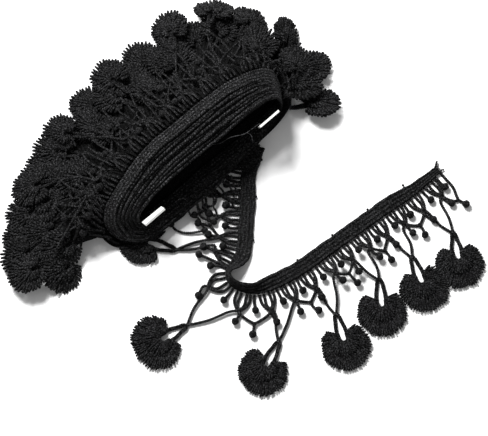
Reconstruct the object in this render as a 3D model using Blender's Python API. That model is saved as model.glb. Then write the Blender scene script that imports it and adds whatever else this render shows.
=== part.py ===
"""Tassel fringe trim: a black cord trim with a ribbed heading, netted strings, balls and fan tassels.

Most of its length is wound nine turns deep round a flat card, and that hank lies on its side with the
mouth of the winding turned up and its fringe splayed out. The free end comes out from under the hank,
runs down, turns tightly and lies out straight. The parts are the card, the wound heading, the wound
fringe, the tassels round its rim, and the heading, fringe and tassels of the free end.

Sizes are in millimetres and are scaled to metres as the meshes are made. Z is up, Z = 0 is the
surface that the trim lies on, and the origin is the middle of its footprint.
"""

import bisect
import math

import bmesh
import bpy
from mathutils import Matrix, Vector

MM = 0.001

# The trim, laid flat.
HEADING_WIDE = 9.3
HEADING_THICK = 1.8
PITCH = 27.0  # one repeat of the net along the heading
STRING_GAP = PITCH / 10  # ten strings leave the heading in a repeat
STRING_R = 0.8
STRING_LIFT = 0.2  # the balls hold the strings this far off the surface
NODE_DOWN = 9.6  # from the heading's lower edge to the net's nodes
NODE_R = 1.8
NODE_STRINGS = 2.5 * STRING_GAP  # from a tassel's middle to the nodes that carry it
NODE_SPREAD = 1.1
BALL_R = 2.2
STAGGER = 0.1  # strings that cross differ in height by this
HANGING_BALL_DOWN = 8.4
SIDE_BALL_DOWN = 18.0
FORK_DOWN = 16.6
FORK_HIGH = 1.4
END_BALL_DOWN = 23.4
KNOT_R = 1.2

# A fan tassel on its loop. Its hub, where the yarns are tied, is its origin.
FAN_R = 14.5
FAN_BEHIND_HUB = 4.0  # the middle of the fan's round outline
FAN_SPREAD = math.radians(280)
FAN_THICK = 4.4
FAN_CROWN = 1.2
FAN_EDGE = 3.5  # width of the slope between rim and crown
FAN_STEPS = 10
LOOP_LONG = 17.0
LOOP_WIDE = 6.9
LOOP_CORD = 2.0
LOOP_HIGH = 2.3
LOOP_TURN_STEPS = 3

FIT = 0.35  # what is left between pieces that touch
WELD = 0.002  # joins a tube to its caps

# The hank lies in its own frame: p along the card, q towards the splayed fringe.
SHIFT = Vector((0.7, -11.7, 0.0))  # puts the origin under the middle of the footprint
WINDING_AT = Vector((-19.0, 25.0, 0.0)) + SHIFT
WINDING_TURN = math.radians(39.3)
STATIONS = 48
LEAN = 0.10  # rise of the winding for each millimetre along the card
WINDING_NEAR_SIDE = -1.5  # q of the side that the free end comes out of

# The four corner lines of the wound heading. Each is a rounded oval that climbs on the far side.
#  line: middle p, middle q, half p, half q, squareness, height, rise on far side, drop on near side
RING_LINES = {
    "outer_foot": (-3.0, 18.8, 68.0, 15.6, 2.7, 18.0, 20.0, 11.0),
    "outer_top": (-2.5, 11.1, 62.0, 15.4, 2.7, 22.0, 20.0, 13.0),
    "inner_top": (-2.0, 4.6, 57.0, 5.9, 3.5, 22.0, 13.0, 8.0),
    "inner_foot": (-2.0, 12.9, 63.0, 5.8, 3.5, 16.0, 15.0, 6.0),
}
GROOVES = 4
GROOVE_DEEP = 1.3
GROOVE_SHARE = 0.2  # of the way from one wound edge to the next

CARD_LONG = 105.0
CARD_DEEP = 8.0
CARD_THICK = 1.5
CARD_EAR = 15.0
CARD_NOTCH = 6.0  # how far the card is cut back between its ears
CARD_TILT = math.radians(-25)
CARD_AT = (0.5, 5.3, 15.9)  # p, q and height of the middle of the card

# How far the wound fringe reaches past the heading's foot, and how much of the foot it fills.
#  angle round the winding in degrees: reach, cover
FRINGE_REACH = {
    -60: (1.0, 0.3),
    -40: (1.5, 0.5),
    -15: (3.0, 0.9),
    15: (6.0, 0.9),
    33: (17.0, 0.9),
    50: (22.0, 1.0),
    70: (27.0, 1.0),
    95: (28.0, 1.0),
    120: (24.0, 1.0),
    145: (20.0, 1.0),
    165: (22.0, 1.0),
    176: (27.0, 1.0),
    187: (24.0, 0.9),
    195: (12.0, 0.8),
    206: (5.0, 0.6),
    220: (1.5, 0.3),
}
FRINGE_RIM_HIGH = 15.0
FRINGE_CLEAR = 0.95
HOLLOW_DROP = 1.2  # the fringe in the hollow lies this much lower still

# The tassels round the rim, lower and upper layer by turns.
RIM_ANGLES = (183, 176, 165, 153, 141, 129, 116, 103, 90, 77, 65, 53, 42, 27, 2, -22)
RIM_LAYER_THICK = 1.3  # times a loose tassel's thickness
RIM_GAP = 0.4  # between a loop's top and the rim

# The lower edge of the loose heading, from under the hank to the cut end, and how far the band tilts up.
#  place: x, y, tilt in degrees
TAIL_ROUTE = {
    "under hank": (3.6, 46.0, 0),
    "in its shade": (-1.9, 27.0, 0),
    "down one": (-2.4, 11.0, 0),
    "down two": (-3.5, -6.0, 0),
    "down three": (-4.6, -19.0, 3),
    "into turn": (-6.4, -26.0, 17),
    "up on edge": (-8.2, -32.5, 48),
    "turn": (-7.9, -38.0, 70),
    "round turn": (-5.2, -43.2, 70),
    "top of turn": (0.5, -47.6, 62),
    "out of turn": (8.0, -49.2, 48),
    "low point": (15.5, -47.4, 28),
    "away one": (24.0, -43.2, 10),
    "away two": (38.0, -34.0, 0),
    "away three": (52.0, -23.5, 0),
    "away four": (68.4, -11.3, 0),
    "away five": (85.5, 1.4, 0),
    "away six": (102.0, 13.0, 0),
    "cut end": (118.6, 28.0, 0),
}
TAIL_STEP = 4.0
EDGE_SPAN = 1.5  # half the stretch of edge that its direction is read from
CURVE_STEPS = 12  # between two places of the route
NET_EASE = 0.985  # the net is drawn in a little along the heading
NET_STOPS = 228.0  # along the route from the cut end, where the hank covers the net

# The loose tassels: top of the loop, then hub.
#  number: top x, top y, hub x, hub y
TAIL_TASSELS = {
    1: (125.3, -10.6, 128.2, -27.4),
    2: (100.6, -26.0, 106.4, -42.0),
    3: (80.7, -39.8, 81.9, -56.7),
    4: (54.9, -61.4, 60.1, -77.6),
    5: (20.4, -78.0, 12.9, -93.2),
    6: (-33.4, -67.8, -47.8, -76.9),
    7: (-38.5, -24.0, -55.3, -20.8),
}
PRESSED_TASSELS = ((1, 2),)
TAIL_FAN_AT = 16.5  # along the route from the cut end to the first tassel

COLOURS = {
    "cord": (0.012, 0.012, 0.013, 1.0),
    "yarn": (0.010, 0.010, 0.011, 1.0),
    "card": (0.82, 0.82, 0.80, 1.0),
}


def clear_scene():
    for thing in list(bpy.data.objects):
        bpy.data.objects.remove(thing, do_unlink=True)


def material(name, roughness):
    made = bpy.data.materials.new(name)
    made.use_nodes = True
    shader = made.node_tree.nodes["Principled BSDF"]
    shader.inputs["Base Color"].default_value = COLOURS[name]
    shader.inputs["Roughness"].default_value = roughness
    shader.inputs["Metallic"].default_value = 0.0
    return made


def add_object(name, bm, finish):
    """The mesh as an object of the scene, with its faces turned out and its round sides smooth."""
    bmesh.ops.recalc_face_normals(bm, faces=bm.faces)
    mesh = bpy.data.meshes.new(name)
    bm.to_mesh(mesh)
    bm.free()
    mesh.shade_smooth()
    mesh.set_sharp_from_angle(angle=math.radians(40))
    mesh.materials.append(finish)
    made = bpy.data.objects.new(name, mesh)
    bpy.context.collection.objects.link(made)
    return made


def winding_place(p, q, high):
    """A place in the hank's frame, in millimetres of the whole model."""
    turn = Matrix.Rotation(WINDING_TURN, 3, "Z")
    return WINDING_AT + turn @ Vector((p, q, high))


def start_ring(bm, places, closed=True):
    ring = [bm.verts.new(Vector(place) * MM) for place in places]
    for a, b in zip(ring, ring[1:] + ring[:1] if closed else ring[1:]):
        bm.edges.new((a, b))
    return ring


def extrude_ring(bm, ring, places):
    """Extrudes a closed ring of vertices and puts the new ring at the given places, in the same order."""
    edges = [bm.edges.get((a, b)) for a, b in zip(ring, ring[1:] + ring[:1])]
    made = bmesh.ops.extrude_edge_only(bm, edges=edges)["geom"]
    fresh = {item for item in made if isinstance(item, bmesh.types.BMVert)}
    moved = []
    for corner, place in zip(ring, places):
        twin = next(e.other_vert(corner) for e in corner.link_edges if e.other_vert(corner) in fresh)
        twin.co = Vector(place) * MM
        moved.append(twin)
    return moved


# ---- the winding -----------------------------------------------------------------------------------


def oval_point(line, angle):
    """A point of one of the winding's lines, at an angle round it: p, q and height."""
    mid_p, mid_q, half_p, half_q, square, high, rise, drop = RING_LINES[line]
    across, up = math.cos(angle), math.sin(angle)
    reach = (abs(across) ** square + abs(up) ** square) ** (-1 / square)
    p, side = mid_p + half_p * reach * across, reach * up
    return Vector((p, mid_q + half_q * side, high + LEAN * p + (rise if side > 0 else drop) * side))


def ring_section(angle):
    """The wound heading's section at one angle: outer top, the grooved edge, inner top and the feet."""
    outer, inner = oval_point("outer_top", angle), oval_point("inner_top", angle)
    inner_foot, outer_foot = oval_point("inner_foot", angle), oval_point("outer_foot", angle)
    section = [outer]
    for turn in range(GROOVES):
        start, stop = turn / GROOVES, (turn + 1) / GROOVES
        share = start + GROOVE_SHARE / GROOVES
        down = outer_foot.lerp(inner_foot, share) - outer.lerp(inner, share)
        section.append(outer.lerp(inner, share) + GROOVE_DEEP * down.normalized())
        section.append(outer.lerp(inner, stop))
    return section + [inner_foot, outer_foot]


def build_winding_heading(finish):
    bm = bmesh.new()
    angles = [math.tau * n / STATIONS for n in range(STATIONS)]
    sections = [[winding_place(*point) for point in ring_section(angle)] for angle in angles]
    ring = first = start_ring(bm, sections[0])
    for places in sections[1:]:
        ring = extrude_ring(bm, ring, places)
    edges = [bm.edges.get((a, b)) for loop in (ring, first) for a, b in zip(loop, loop[1:] + loop[:1])]
    bmesh.ops.bridge_loops(bm, edges=edges)
    return add_object("winding_heading", bm, finish)


def fringe_reach(angle):
    """How far the wound fringe reaches at an angle, and how much of the heading's foot it fills."""
    stops = sorted(FRINGE_REACH)
    degrees = (math.degrees(angle) - stops[0]) % 360 + stops[0]
    after = bisect.bisect_right(stops, degrees)
    if after == len(stops):
        return FRINGE_REACH[stops[-1]]
    low, high = stops[after - 1], stops[after]
    share = (degrees - low) / (high - low)
    share = share * share * (3 - 2 * share)
    return tuple(a + (b - a) * share for a, b in zip(FRINGE_REACH[low], FRINGE_REACH[high]))


def foot_normal(angle):
    """The direction straight out from the heading's foot, level, in the hank's frame."""
    step = 0.02
    along = oval_point("outer_foot", angle + step) - oval_point("outer_foot", angle - step)
    return Vector((along.y, -along.x, 0.0)).normalized()


def under_foot(angle, cover):
    """A place under the heading's foot, clear of the foot there and at the stations on either side."""
    step = math.tau / STATIONS
    places = []
    for near in (angle, angle - step, angle + step):
        places.append(oval_point("inner_foot", near).lerp(oval_point("outer_foot", near), cover))
    places[0].z = min(place.z for place in places) - FRINGE_CLEAR
    return places[0]


def fringe_edge(angle):
    """The place under the heading's foot where the fringe starts, and its outer edge, in the hank's frame."""
    reach, cover = fringe_reach(angle)
    start = under_foot(angle, cover)
    return start, start + reach * foot_normal(angle)


def rim_place(angle):
    """A place on the fringe's outer edge, and the level direction straight out there, in the hank's frame."""
    stations = angle * STATIONS / math.tau
    a, b = (fringe_edge(math.tau * n / STATIONS)[1] for n in (math.floor(stations), math.floor(stations) + 1))
    return a.lerp(b, stations % 1), Vector((b.y - a.y, a.x - b.x, 0.0)).normalized()


def build_winding_fringe(finish):
    bm = bmesh.new()
    angles = [math.tau * n / STATIONS for n in range(STATIONS)]
    levels = {"bottom": [], "rim": [], "start": [], "inner": []}
    for angle in angles:
        start, edge = fringe_edge(angle)
        inner, outer = oval_point("inner_foot", angle), oval_point("outer_foot", angle)
        foot_fall = max(0.0, (inner.z - outer.z) / (outer - inner).xy.length)
        rim_high = min(FRINGE_RIM_HIGH, start.z - foot_fall * fringe_reach(angle)[0] - FIT)
        levels["bottom"].append(winding_place(edge.x, edge.y, 0.0))
        levels["rim"].append(winding_place(edge.x, edge.y, rim_high))
        levels["start"].append(winding_place(*start))
        inside = under_foot(angle, 0.0)
        levels["inner"].append(winding_place(inside.x, inside.y, inside.z - HOLLOW_DROP))
    bottom = ring = start_ring(bm, levels["bottom"])
    for level in ("rim", "start", "inner"):
        ring = extrude_ring(bm, ring, levels[level])
    bm.faces.new(bottom)
    half = STATIONS // 2
    bm.faces.new((ring[-1], ring[0], ring[1]))
    for n in range(1, half - 1):
        bm.faces.new((ring[n], ring[n + 1], ring[-n - 1], ring[-n]))
    bm.faces.new((ring[half - 1], ring[half], ring[half + 1]))
    return add_object("winding_fringe", bm, finish)


def build_card(finish):
    bm = bmesh.new()
    half, ear, notch = CARD_LONG / 2, CARD_EAR, CARD_NOTCH
    top, foot = CARD_DEEP / 2, -CARD_DEEP / 2
    outline = (
        (-half, foot),
        (half, foot),
        (half, top),
        (half - ear, top),
        (half - ear, top - notch),
        (ear - half, top - notch),
        (ear - half, top),
        (-half, top),
    )
    ring = start_ring(bm, [(x, -y, 0) for x, y in outline])
    face = bm.faces.new(ring)
    made = bmesh.ops.extrude_face_region(bm, geom=[face])["geom"]
    lifted = [item for item in made if isinstance(item, bmesh.types.BMVert)]
    bmesh.ops.translate(bm, verts=lifted, vec=Vector((0, 0, CARD_THICK)) * MM)
    lie = Matrix.Rotation(math.atan(LEAN), 4, "Y").inverted() @ Matrix.Rotation(CARD_TILT, 4, "X")
    place = Matrix.Translation(winding_place(*CARD_AT) * MM)
    bm.transform(place @ Matrix.Rotation(WINDING_TURN, 4, "Z") @ lie)
    return add_object("winding_card", bm, finish)


# ---- a tassel --------------------------------------------------------------------------------------


def tassel_mesh(finish):
    """A fan of cut yarn with its doubled loop, hub at the origin and loop along +X, standing on Z = 0."""
    bm = bmesh.new()
    outline = [(0.0, 0.0, 0.0)]
    for step in range(FAN_STEPS + 1):
        angle = FAN_SPREAD * (step / FAN_STEPS - 0.5)
        outline.append((-FAN_BEHIND_HUB - FAN_R * math.cos(angle), -FAN_R * math.sin(angle), 0.0))
    face = bm.faces.new(start_ring(bm, outline))
    made = bmesh.ops.extrude_face_region(bm, geom=[face])["geom"]
    lifted = [item for item in made if isinstance(item, bmesh.types.BMVert)]
    bmesh.ops.translate(bm, verts=lifted, vec=Vector((0, 0, FAN_THICK)) * MM)
    top = [item for item in made if isinstance(item, bmesh.types.BMFace)]
    bmesh.ops.inset_region(bm, faces=top, thickness=FAN_EDGE * MM, depth=FAN_CROWN * MM, use_even_offset=True)
    fan = add_object("fan", bm, finish)

    turn_r = (LOOP_WIDE - LOOP_CORD) / 2
    far = LOOP_LONG - LOOP_WIDE / 2
    near = LOOP_CORD - turn_r
    outward = turn_r / math.cos(math.pi / LOOP_TURN_STEPS / 2)  # the flats of the turn reach its full round
    route = []
    for middle, start in ((far, -90), (near, 90)):
        for step in range(LOOP_TURN_STEPS + 1):
            angle = math.radians(start + 180 * step / LOOP_TURN_STEPS)
            route.append((middle + outward * math.cos(angle), turn_r * math.sin(angle)))
    curve = bpy.data.curves.new("loop", "CURVE")
    curve.dimensions = "3D"
    curve.bevel_depth = LOOP_CORD / 2 * MM
    curve.bevel_resolution = 0
    line = curve.splines.new("POLY")
    line.points.add(len(route) - 1)
    for point, (x, y) in zip(line.points, route):
        point.co = (x * MM, y * MM, LOOP_HIGH * MM, 1.0)
    line.use_cyclic_u = True
    loop = bpy.data.objects.new("loop", curve)
    bpy.context.collection.objects.link(loop)
    return joined("tassel", [fan, loop], finish)


def joined(name, things, finish):
    """One closed mesh from objects that run into each other, which are then removed."""
    bm = bmesh.new()
    graph = bpy.context.evaluated_depsgraph_get()
    for thing in things:
        mesh = bpy.data.meshes.new_from_object(thing.evaluated_get(graph))
        bm.from_mesh(mesh)
        bpy.data.meshes.remove(mesh)
    bmesh.ops.remove_doubles(bm, verts=bm.verts, dist=WELD * MM)
    first = add_object(name, bm, finish)
    for thing in things:
        bpy.data.objects.remove(thing, do_unlink=True)

    bm = bmesh.new()
    bmesh.ops.create_cube(bm, size=MM, matrix=Matrix.Translation((0, 0, -1)))
    far_below = add_object("far_below", bm, finish)
    join = first.modifiers.new("join", "BOOLEAN")
    join.operation = "DIFFERENCE"
    join.solver = "EXACT"
    join.use_self = True
    join.object = far_below
    graph = bpy.context.evaluated_depsgraph_get()
    mesh = bpy.data.meshes.new_from_object(first.evaluated_get(graph))
    mesh.name = name
    for thing in (first, far_below):
        bpy.data.objects.remove(thing, do_unlink=True)
    return mesh


def place_tassel(name, mesh, hub, toward, layer_high, thickness=1.0):
    """A tassel with its hub at a place and its loop turned toward another."""
    made = bpy.data.objects.new(name, mesh)
    turn = math.atan2(toward.y - hub.y, toward.x - hub.x)
    made.location = Vector((hub.x, hub.y, layer_high)) * MM
    made.rotation_euler = (0.0, 0.0, turn)
    made.scale = (1.0, 1.0, thickness)
    bpy.context.collection.objects.link(made)
    return made


def build_winding_tassels(mesh):
    thick = (FAN_THICK + FAN_CROWN) * RIM_LAYER_THICK
    for number, degrees in enumerate(RIM_ANGLES, 1):
        edge, out = rim_place(math.radians(degrees))
        hub = edge + (LOOP_LONG + RIM_GAP) * out
        high = (thick + FIT) * ((number + 1) % 2)
        name = f"winding_tassel_{number:02d}"
        place_tassel(name, mesh, winding_place(*hub), winding_place(*edge), high, RIM_LAYER_THICK)


# ---- the free end ----------------------------------------------------------------------------------


def smooth_route(rows):
    """A smooth curve through the rows, as fine points and the length of the route to each."""
    knots = [Vector(row) for row in rows]
    knots = [2 * knots[0] - knots[1], *knots, 2 * knots[-1] - knots[-2]]
    fine = []
    for a, b, c, d in zip(knots, knots[1:], knots[2:], knots[3:]):
        for part in range(CURVE_STEPS):
            t = part / CURVE_STEPS
            bend, twist = 2 * a - 5 * b + 4 * c - d, 3 * b - a - 3 * c + d
            fine.append(0.5 * (2 * b + (c - a) * t + bend * t * t + twist * t**3))
    fine.append(knots[-2])
    lengths = [0.0]
    for a, b in zip(fine, fine[1:]):
        lengths.append(lengths[-1] + (b - a).xy.length)
    return fine, lengths


def at_length(fine, lengths, along):
    after = min(max(bisect.bisect_left(lengths, along), 1), len(fine) - 1)
    share = (along - lengths[after - 1]) / max(lengths[after] - lengths[after - 1], 1e-9)
    return fine[after - 1].lerp(fine[after], share)


class Tail:
    """The route of the loose heading's lower edge, measured from the cut end."""

    def __init__(self):
        self.fine, self.lengths = smooth_route(list(reversed(TAIL_ROUTE.values())))

    def stations(self):
        """Even steps along the route."""
        count = round(self.lengths[-1] / TAIL_STEP)
        return [self.lengths[-1] * n / count for n in range(count + 1)]

    def edge(self, along):
        """The edge's place, the direction straight out across the fringe, and the band's tilt."""
        here = at_length(self.fine, self.lengths, along)
        ahead = at_length(self.fine, self.lengths, along + EDGE_SPAN)
        behind = at_length(self.fine, self.lengths, along - EDGE_SPAN)
        run = (ahead - behind).xy.normalized()
        out = Vector((-run.y, run.x, 0.0))
        place = Vector((here.x, here.y, 0.0)) + SHIFT
        return place, out, math.radians(here.z)

    def net(self, along, down, high):
        """A place of the net, down from the heading's lower edge, clear of the tilted band's thickness."""
        place, out, tilt = self.edge(along)
        spot = place + out * (down + HEADING_THICK * math.sin(tilt))
        spot.z = high
        return spot


def build_tail_heading(tail, finish):
    bm = bmesh.new()
    ring = None
    for along in tail.stations():
        place, out, tilt = tail.edge(along)
        over = Vector((-out.x * math.cos(tilt), -out.y * math.cos(tilt), math.sin(tilt)))
        up = over.cross(Vector((-out.y, out.x, 0.0)))
        up = up if up.z > 0 else -up
        section = [
            place,
            place + over * HEADING_WIDE,
            place + over * HEADING_WIDE + up * HEADING_THICK,
            place + up * HEADING_THICK,
        ]
        lift = -min(corner.z for corner in section)
        section = [corner + Vector((0, 0, lift)) for corner in section]
        if ring is None:
            ring = start_ring(bm, section)
            bm.faces.new(ring)
        else:
            ring = extrude_ring(bm, ring, section)
    bm.faces.new(ring)
    return add_object("tail_heading", bm, finish)


class Net:
    """Strings and balls that are gathered first and made one solid at the end."""

    def __init__(self):
        self.curve = bpy.data.curves.new("strings", "CURVE")
        self.curve.dimensions = "3D"
        self.curve.bevel_depth = STRING_R * MM
        self.curve.bevel_resolution = 0
        self.curve.use_fill_caps = True
        self.balls = bmesh.new()

    def string(self, *places):
        line = self.curve.splines.new("POLY")
        line.points.add(len(places) - 1)
        for point, place in zip(line.points, places):
            point.co = (*(place * MM), 1.0)

    def ball(self, place, radius):
        bmesh.ops.create_uvsphere(
            self.balls,
            u_segments=6,
            v_segments=3,
            radius=radius * MM,
            matrix=Matrix.Translation(place * MM),
        )

    def object(self, name, finish):
        strings = bpy.data.objects.new("strings", self.curve)
        bpy.context.collection.objects.link(strings)
        balls = add_object("balls", self.balls, finish)
        made = bpy.data.objects.new(name, joined(name, [strings, balls], finish))
        bpy.context.collection.objects.link(made)
        return made


def under_winding(place):
    """Whether a place lies under the hank's near side, where the net is left out."""
    local = Matrix.Rotation(-WINDING_TURN, 3, "Z") @ (place - WINDING_AT)
    return local.y > WINDING_NEAR_SIDE


def build_tail_fringe(tail, finish):
    net = Net()
    high = STRING_R + STRING_LIFT
    root_down = STRING_R + FIT
    net.string(*(tail.net(along, root_down, high) for along in tail.stations() if along < NET_STOPS))
    for number in range(-1, len(TAIL_TASSELS) + 1):
        middle = TAIL_FAN_AT + number * PITCH * NET_EASE
        nodes = {side: middle + side * NODE_STRINGS for side in (-1, 1)}
        spots = {}
        for side, at in nodes.items():
            spots[side] = tail.net(at, NODE_DOWN, NODE_R)
            inside = 0 < at < NET_STOPS - STRING_GAP and not under_winding(spots[side])
            if not inside:
                del spots[side]
                continue
            net.ball(spots[side], NODE_R)
            for pair in (-1, 1):
                top = tail.net(at + pair * STRING_GAP, root_down, high - STAGGER)
                net.string(top, tail.net(at + pair * NODE_SPREAD, NODE_DOWN, high - STAGGER))
            side_ball = tail.net(at, SIDE_BALL_DOWN, BALL_R)
            if not under_winding(side_ball):
                net.string(spots[side], side_ball)
                net.ball(side_ball, BALL_R)
        for offset in (0.0, PITCH / 2):
            at = middle + offset
            ball = tail.net(at, HANGING_BALL_DOWN, BALL_R)
            if 0 < at < NET_STOPS and not under_winding(ball):
                net.string(tail.net(at, root_down, high + STAGGER), ball)
                net.ball(ball, BALL_R)
        fork_at = middle + PITCH / 2
        fork = tail.net(fork_at, FORK_DOWN, FORK_HIGH)
        end_ball = tail.net(fork_at, END_BALL_DOWN, BALL_R)
        if 1 in spots and 0 < fork_at < NET_STOPS and not under_winding(end_ball):
            net.string(spots[1], fork, end_ball)
            net.ball(end_ball, BALL_R)
            following = tail.net(middle + PITCH * NET_EASE - NODE_STRINGS, NODE_DOWN, high + STAGGER)
            if not under_winding(following):
                net.string(fork, following)
        if 0 <= number < len(TAIL_TASSELS):
            top_x, top_y, hub_x, hub_y = TAIL_TASSELS[number + 1]
            away = Vector((top_x - hub_x, top_y - hub_y, 0.0)).normalized()
            knot = Vector((hub_x, hub_y, 0.0)) + SHIFT + away * (LOOP_LONG + FIT + KNOT_R)
            knot.z = LOOP_HIGH
            net.ball(knot, KNOT_R)
            for side in spots:
                net.string(spots[side], spots[side].lerp(knot, 0.5), knot)
    return net.object("tail_fringe", finish)


def fan_middle(number):
    """The middle of a loose tassel's round outline."""
    top_x, top_y, hub_x, hub_y = TAIL_TASSELS[number]
    away = Vector((hub_x - top_x, hub_y - top_y, 0.0)).normalized()
    return Vector((hub_x, hub_y, 0.0)) + SHIFT + away * FAN_BEHIND_HUB


def press(tassel, middle, neighbour):
    """Flattens a tassel's rim where it lies against its neighbour, half way between their middles."""
    toward = (neighbour - middle).normalized()
    bm = bmesh.new()
    bm.from_mesh(tassel.data)
    bm.transform(tassel.matrix_basis)
    tassel.matrix_basis = Matrix()
    everything = [*bm.verts, *bm.edges, *bm.faces]
    limit = ((middle + neighbour) / 2 - toward * FIT / 2) * MM
    cut = bmesh.ops.bisect_plane(bm, geom=everything, plane_co=limit, plane_no=toward, clear_outer=True)
    rim = [item for item in cut["geom_cut"] if isinstance(item, bmesh.types.BMEdge)]
    bmesh.ops.contextual_create(bm, geom=rim)
    tassel.data = tassel.data.copy()
    bm.to_mesh(tassel.data)
    bm.free()


def build_tail_tassels(mesh):
    for number, (top_x, top_y, hub_x, hub_y) in TAIL_TASSELS.items():
        hub = Vector((hub_x, hub_y, 0.0)) + SHIFT
        made = place_tassel(f"tail_tassel_{number}", mesh, hub, Vector((top_x, top_y, 0.0)) + SHIFT, 0.0)
        for pair in PRESSED_TASSELS:
            if number in pair:
                press(made, *(fan_middle(n) for n in (pair if number == pair[0] else pair[::-1])))


def main():
    clear_scene()
    cord, yarn, card = material("cord", 0.85), material("yarn", 0.95), material("card", 0.7)
    build_card(card)
    build_winding_heading(cord)
    build_winding_fringe(cord)
    tassel = tassel_mesh(yarn)
    build_winding_tassels(tassel)
    tail = Tail()
    build_tail_heading(tail, cord)
    build_tail_fringe(tail, cord)
    build_tail_tassels(tassel)


main()
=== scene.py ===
"""Tassel fringe trim in black yarn: a hank wound on a card, and the free end laid out beside it.

Every length in the making is in millimetres and becomes metres as a mesh is finished. The hank is
made in its own frame, p along the card and q towards the splayed fringe, and turned into place.
The net, its balls and its tassels are worked once for any run of heading: a place on the trim is
s along the heading, t down from its lower edge and h up from what it lies on.
"""

import math
from functools import partial
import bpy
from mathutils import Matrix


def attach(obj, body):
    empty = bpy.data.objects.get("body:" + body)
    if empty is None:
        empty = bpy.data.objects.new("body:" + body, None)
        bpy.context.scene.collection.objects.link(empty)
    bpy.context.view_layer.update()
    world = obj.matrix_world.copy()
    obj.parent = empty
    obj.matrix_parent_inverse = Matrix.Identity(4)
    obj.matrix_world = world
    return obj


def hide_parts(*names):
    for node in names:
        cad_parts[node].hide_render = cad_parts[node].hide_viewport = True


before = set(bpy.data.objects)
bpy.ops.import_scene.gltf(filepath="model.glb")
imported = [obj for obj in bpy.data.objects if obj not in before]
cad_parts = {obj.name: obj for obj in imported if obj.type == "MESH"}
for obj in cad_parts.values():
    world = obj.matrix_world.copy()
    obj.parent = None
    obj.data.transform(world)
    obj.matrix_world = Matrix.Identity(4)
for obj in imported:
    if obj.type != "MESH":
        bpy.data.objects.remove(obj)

from types import SimpleNamespace

import bmesh
import bpy
import numpy as np
from mathutils import Matrix, Vector

bl_info = {
    "name": "Tassel Fringe Trim",
    "version": (1, 0, 0),
    "blender": (4, 5, 0),
    "location": "3D View > Sidebar > Trim",
    "description": "Builds a wound tassel fringe trim round its packed frame",
    "category": "Add Mesh",
}

MM = 0.001
TAU = math.tau
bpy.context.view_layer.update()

# ---- the lie of the trim, as the frame has it ----

SHIFT = np.array((0.7, -11.7, 0.0))
HANK_AT = np.array((-18.3, 13.3, 0.0))
HANK_TURN = math.radians(39.3)
LEAN = 0.10

# The lines of the hank: middle p and q, half p and q, squareness, height, rise on the far side and
# drop on the near side.
HANK_LINES = {
    "outer_foot": (-1.5, 18.8, 66.5, 15.6, 2.7, 18.0, 20.0, 11.0),
    "outer_top": (-1.5, 11.1, 61.0, 15.4, 2.7, 22.0, 20.0, 13.0),
    "inner_top": (2.0, 1.6, 53.0, 2.9, 3.2, 22.0, 13.0, 8.0),
    "inner_foot": (2.5, 10.3, 57.5, 3.2, 3.2, 16.5, 15.0, 6.5),
}
# How far the near side sags outwards on the left, by line.
HANK_SAG = {"outer_foot": 4.5, "outer_top": 4.5, "inner_top": 0.5, "inner_foot": 0.0}
# How far the left end bends down towards the near side, by line.
HANK_BEND = {"outer_foot": 8.0, "outer_top": 7.5, "inner_top": 1.2, "inner_foot": 1.2}
TURNS, TURNS_FROM = 9, -62  # and the way in degrees at which the outermost begins
TURNS_IN = 0.055  # how far in from the outer and inner lines the first and last turns lie, as a share
WOUND_LONG = 2430.0  # a round length of the wound heading, which its UV map and its waver go by

# Between which ways round the hank, in degrees, its net splays out, and strings lie slanted over it.
SPLAYED, SLANTED = (-24, 173), (146, 178)
TURN_IN, TURN_DOWN = 0.8, 2.1  # how far in and down each turn's net lies from the one outside it
HOLLOW_Q, HOLLOW_HIGH = 12.3, 13.0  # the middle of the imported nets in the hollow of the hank
# Where the splayed net reaches, against its length laid flat, by angle round the hank.
NET_REACH = (
    (-60, 0.25), (-26, 0.36), (-7, 0.42), (18, 0.5), (32, 0.65), (48, 0.92), (77, 0.98), (95, 1.0),
    (110, 0.95), (127, 0.88), (141, 0.8), (160, 0.9), (168, 0.98), (171, 0.7), (174, 0.26), (180, 0.14),
    (206, 0.1), (240, 0.1),
)
# How the splayed net falls: distance out from the foot, share of the foot's height, and height added.
NET_FALL = (
    (-3.0, 1.0, -0.6), (0.0, 1.0, -1.1), (6.0, 0.93, -1.2), (14.0, 0.76, -0.8), (24.0, 0.54, 0.6),
    (36.0, 0.36, 1.6), (50.0, 0.22, 2.0), (66.0, 0.1, 1.5), (90.0, 0.0, 1.0),
)
# How far the net at the left end is held up off its fall, by angle round the hank and by distance.
NET_LIFT = ((125, 0.0), (148, 5.0), (165, 8.0), (200, 8.0))
LIFT_SHARE = ((0, 0.0), (9, 1.0), (26, 0.9), (50, 0.2), (60, 0.0))
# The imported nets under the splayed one: distance along the net, how far below it, and least height.
UNDER_LEVELS = ((14, 8.0, 3.0), (27, 9.0, 2.0), (37, 10.0, 1.5), (46, 11.0, 0.6))
# Strings of the inner turns' nets that hang out under the near side: x, y and height.
SCRAPS = (
    ((-31.7, -2.8, 8.0), (-34.1, -9.1, 4.0), (-38.5, -13.0, 2.5), (-43.1, -16.0, 2.2)),
    ((-43.0, -15.5, 2.0), (-40.1, -19.6, 1.4), (-32.9, -21.5, 1.4), (-22.7, -20.2, 2.2)),
    ((-28.1, -1.8, 9.0), (-25.7, -11.0, 4.0), (-21.5, -13.5, 2.0), (-17.3, -14.8, 2.2)),
    ((-37.1, -6.2, 7.0), (-39.0, -8.5, 5.0), (-40.1, -11.6, 3.0)),
    ((-24.0, 3.5, 9.0), (-22.0, -3.0, 6.0), (-23.5, -8.0, 3.0), (-29.0, -10.5, 2.2)),
    ((-18.5, 6.5, 8.0), (-16.0, 0.5, 5.0), (-17.5, -4.5, 3.0), (-22.5, -5.5, 2.4)),
)
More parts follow.
